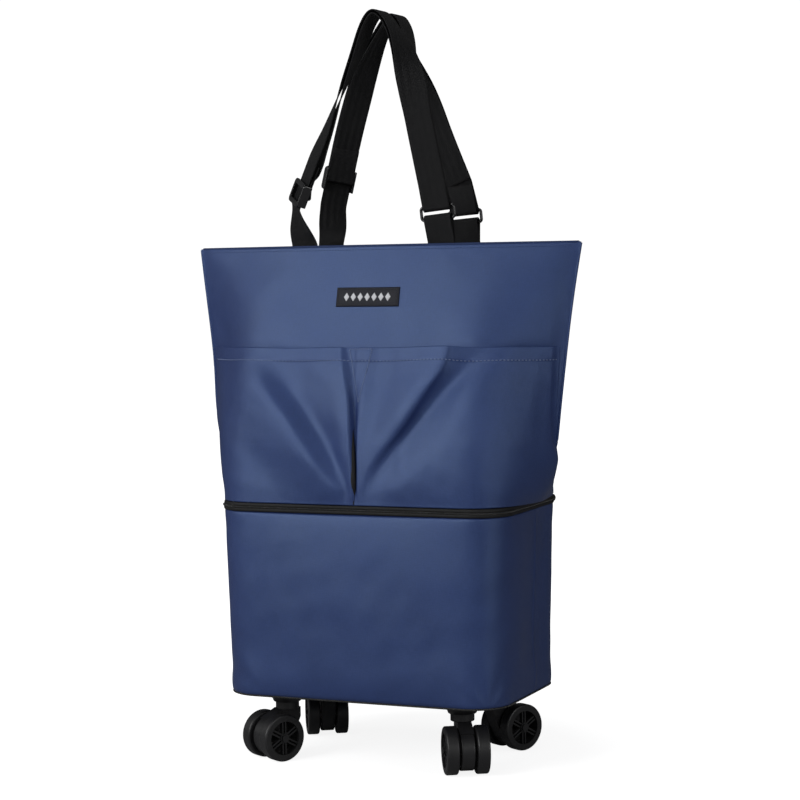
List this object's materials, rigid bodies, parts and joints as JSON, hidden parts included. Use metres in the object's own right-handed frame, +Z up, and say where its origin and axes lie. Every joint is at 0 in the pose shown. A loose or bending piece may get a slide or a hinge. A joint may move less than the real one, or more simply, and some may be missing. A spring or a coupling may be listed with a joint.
{
  "type": "folding shopping trolley",
  "caption": "Fabric tote on swivelling twin-wheel casters, with front pockets, webbing carrying straps and a zip round the middle that folds the lower half away.",
  "frame": {"origin": "on the floor under the middle of the bag", "axes": "+Z up, -Y towards the pocket side, +X to the right seen from the front"},
  "size_m": [0.44, 0.1979, 0.7885],
  "materials": {
    "navy_cloth": "matte",
    "black_webbing": "matte",
    "black_tape": "matte",
    "zip_coil": "satin",
    "dark_metal": "gloss",
    "label": "matte",
    "board": "matte",
    "steel": "satin",
    "gloss_black": "gloss",
    "black_plastic": "satin",
    "tread": "matte"
  },
  "bodies": {
    "base": {"base_board": "board", "bottom_panel": "navy_cloth", "lower_sleeve": "navy_cloth", "lower_zip_tape": "black_tape", "lower_zip_coil": "zip_coil", "caster_screws": "steel", "kingpins": "steel", "front_left_mounting_plate": "black_plastic", "front_right_mounting_plate": "black_plastic", "back_right_mounting_plate": "black_plastic", "back_left_mounting_plate": "black_plastic"},
    "bag": {"front_panel": "navy_cloth", "back_panel": "navy_cloth", "mouth_facing": "navy_cloth", "pocket_panel": "navy_cloth", "label_patch": "label", "upper_zip_tape": "black_tape", "upper_zip_coil": "zip_coil"},
    "zip_slider": {"zip_slider": "dark_metal"},
    "zip_pull": {"zip_pull": "dark_metal"},
    "front_strap": {"front_strap": "black_webbing", "front_strap_return": "black_webbing", "front_ring_tab": "black_webbing"},
    "front_ring": {"front_ring": "gloss_black"},
    "front_adjuster": {"front_adjuster": "gloss_black"},
    "back_strap": {"back_strap": "black_webbing", "back_strap_return": "black_webbing", "back_ring_tab": "black_webbing"},
    "back_ring": {"back_ring": "gloss_black"},
    "back_adjuster": {"back_adjuster": "gloss_black"},
    "front_left_caster": {"front_left_caster_housing": "black_plastic", "front_left_axle": "dark_metal"},
    "front_left_outer_wheel": {"front_left_outer_wheel_core": "black_plastic", "front_left_outer_wheel_tread": "tread"},
    "front_left_inner_wheel": {"front_left_inner_wheel_core": "black_plastic", "front_left_inner_wheel_tread": "tread"},
    "front_right_caster": {"front_right_caster_housing": "black_plastic", "front_right_axle": "dark_metal"},
    "front_right_outer_wheel": {"front_right_outer_wheel_core": "black_plastic", "front_right_outer_wheel_tread": "tread"},
    "front_right_inner_wheel": {"front_right_inner_wheel_core": "black_plastic", "front_right_inner_wheel_tread": "tread"},
    "back_right_caster": {"back_right_caster_housing": "black_plastic", "back_right_axle": "dark_metal"},
    "back_right_outer_wheel": {"back_right_outer_wheel_core": "black_plastic", "back_right_outer_wheel_tread": "tread"},
    "back_right_inner_wheel": {"back_right_inner_wheel_core": "black_plastic", "back_right_inner_wheel_tread": "tread"},
    "back_left_caster": {"back_left_caster_housing": "black_plastic", "back_left_axle": "dark_metal"},
    "back_left_outer_wheel": {"back_left_outer_wheel_core": "black_plastic", "back_left_outer_wheel_tread": "tread"},
    "back_left_inner_wheel": {"back_left_inner_wheel_core": "black_plastic", "back_left_inner_wheel_tread": "tread"}
  },
  "joints": [
    {"name": "bag_fold", "type": "slide", "parent": "base", "child": "bag", "axis": [0, 0, 1], "range_m": [-0.19, 0], "deforming": ["lower_sleeve"]},
    {"name": "zip_travel", "type": "slide", "parent": "bag", "child": "zip_slider", "axis": [1, 0, 0], "range_m": [-0.11, 0.11]},
    {"name": "zip_pull_lift", "type": "hinge", "parent": "zip_slider", "child": "zip_pull", "pos_m": [0, 0.0988, 0.273], "axis": [1, 0, 0], "range_deg": [0, 150]},
    {"name": "front_strap_swing", "type": "hinge", "parent": "bag", "child": "front_strap", "pos_m": [0, -0.036, 0.5455], "axis": [1, 0, 0], "range_deg": [-4, 130]},
    {"name": "front_ring_tilt", "type": "hinge", "parent": "front_strap", "child": "front_ring", "pos_m": [0.07765, -0.036, 0.56943], "axis": [0.9952, 0, 0.0979], "range_deg": [-8, 8]},
    {"name": "front_adjuster_travel", "type": "slide", "parent": "front_strap", "child": "front_adjuster", "axis": [0.4249, 0, 0.9052], "range_m": [-0.002, 0.02], "deforming": ["front_strap_return"]},
    {"name": "back_strap_swing", "type": "hinge", "parent": "bag", "child": "back_strap", "pos_m": [0, 0.036, 0.5455], "axis": [-1, 0, 0], "range_deg": [-4, 130]},
    {"name": "back_ring_tilt", "type": "hinge", "parent": "back_strap", "child": "back_ring", "pos_m": [0.0785, 0.036, 0.56542], "axis": [0.9972, 0, 0.0753], "range_deg": [-8, 8]},
    {"name": "back_adjuster_travel", "type": "slide", "parent": "back_strap", "child": "back_adjuster", "axis": [0.2577, 0, 0.9662], "range_m": [-0.015, 0.015], "deforming": ["back_strap_return"]},
    {"name": "front_left_swivel", "type": "hinge", "parent": "base", "child": "front_left_caster", "pos_m": [-0.101, -0.05, 0.06], "axis": [0, 0, 1], "continuous": true},
    {"name": "front_left_outer_wheel_spin", "type": "hinge", "parent": "front_left_caster", "child": "front_left_outer_wheel", "pos_m": [-0.11021, -0.06662, 0.025], "axis": [0.8746, -0.4848, 0], "continuous": true},
    {"name": "front_left_inner_wheel_spin", "type": "hinge", "parent": "front_left_caster", "child": "front_left_inner_wheel", "pos_m": [-0.11021, -0.06662, 0.025], "axis": [0.8746, -0.4848, 0], "continuous": true},
    {"name": "front_right_swivel", "type": "hinge", "parent": "base", "child": "front_right_caster", "pos_m": [0.101, -0.05, 0.06], "axis": [0, 0, 1], "continuous": true},
    {"name": "front_right_outer_wheel_spin", "type": "hinge", "parent": "front_right_caster", "child": "front_right_outer_wheel", "pos_m": [0.11079, -0.06629, 0.025], "axis": [0.8572, 0.515, 0], "continuous": true},
    {"name": "front_right_inner_wheel_spin", "type": "hinge", "parent": "front_right_caster", "child": "front_right_inner_wheel", "pos_m": [0.11079, -0.06629, 0.025], "axis": [0.8572, 0.515, 0], "continuous": true},
    {"name": "back_right_swivel", "type": "hinge", "parent": "base", "child": "back_right_caster", "pos_m": [0.101, 0.05, 0.06], "axis": [0, 0, 1], "continuous": true},
    {"name": "back_right_outer_wheel_spin", "type": "hinge", "parent": "back_right_caster", "child": "back_right_outer_wheel", "pos_m": [0.11021, 0.06662, 0.025], "axis": [-0.8746, 0.4848, 0], "continuous": true},
    {"name": "back_right_inner_wheel_spin", "type": "hinge", "parent": "back_right_caster", "child": "back_right_inner_wheel", "pos_m": [0.11021, 0.06662, 0.025], "axis": [-0.8746, 0.4848, 0], "continuous": true},
    {"name": "back_left_swivel", "type": "hinge", "parent": "base", "child": "back_left_caster", "pos_m": [-0.101, 0.05, 0.06], "axis": [0, 0, 1], "continuous": true},
    {"name": "back_left_outer_wheel_spin", "type": "hinge", "parent": "back_left_caster", "child": "back_left_outer_wheel", "pos_m": [-0.11079, 0.06629, 0.025], "axis": [-0.8572, -0.515, 0], "continuous": true},
    {"name": "back_left_inner_wheel_spin", "type": "hinge", "parent": "back_left_caster", "child": "back_left_inner_wheel", "pos_m": [-0.11079, 0.06629, 0.025], "axis": [-0.8572, -0.515, 0], "continuous": true}
  ]
}
